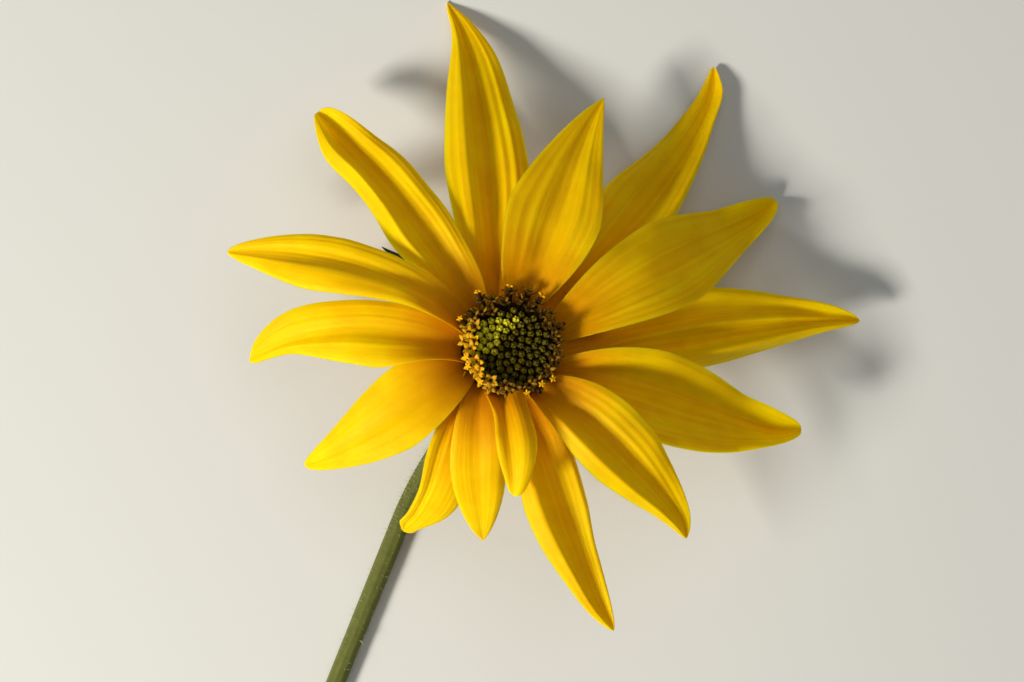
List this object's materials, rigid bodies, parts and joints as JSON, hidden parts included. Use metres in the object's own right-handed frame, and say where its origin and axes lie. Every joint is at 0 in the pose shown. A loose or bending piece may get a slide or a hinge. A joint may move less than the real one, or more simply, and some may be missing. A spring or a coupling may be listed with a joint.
{
  "type": "jerusalem artichoke flower",
  "caption": "Cut yellow Jerusalem artichoke flower head on a short leafless stem, laid down, with narrow drooping ray petals round a small disc of open florets and green buds.",
  "frame": {"origin": "centre of the bounding box, on the surface that the flower lies on", "axes": "+Y along the laid stem from its cut end towards the head and the longest ray tips, +X to the right seen from above with +Y up, +Z up from the surface"},
  "size_m": [0.074, 0.1376, 0.0263],
  "materials": {
    "ray_florets": "satin",
    "disc_open_florets": "matte",
    "disc_bud_florets": "satin",
    "involucre": "matte",
    "stem": "matte"
  },
  "bodies": {
    "root": {"stem": "stem", "involucre": "involucre", "disc_open_florets": "disc_open_florets", "disc_bud_florets": "disc_bud_florets", "ray_floret_01": "ray_florets", "ray_floret_02": "ray_florets", "ray_floret_03": "ray_florets", "ray_floret_04": "ray_florets", "ray_floret_05": "ray_florets", "ray_floret_06": "ray_florets", "ray_floret_07": "ray_florets", "ray_floret_08": "ray_florets", "ray_floret_09": "ray_florets", "ray_floret_10": "ray_florets", "ray_floret_11": "ray_florets", "ray_floret_12": "ray_florets", "ray_floret_13": "ray_florets", "ray_floret_14": "ray_florets", "ray_floret_15": "ray_florets"}
  },
  "joints": []
}
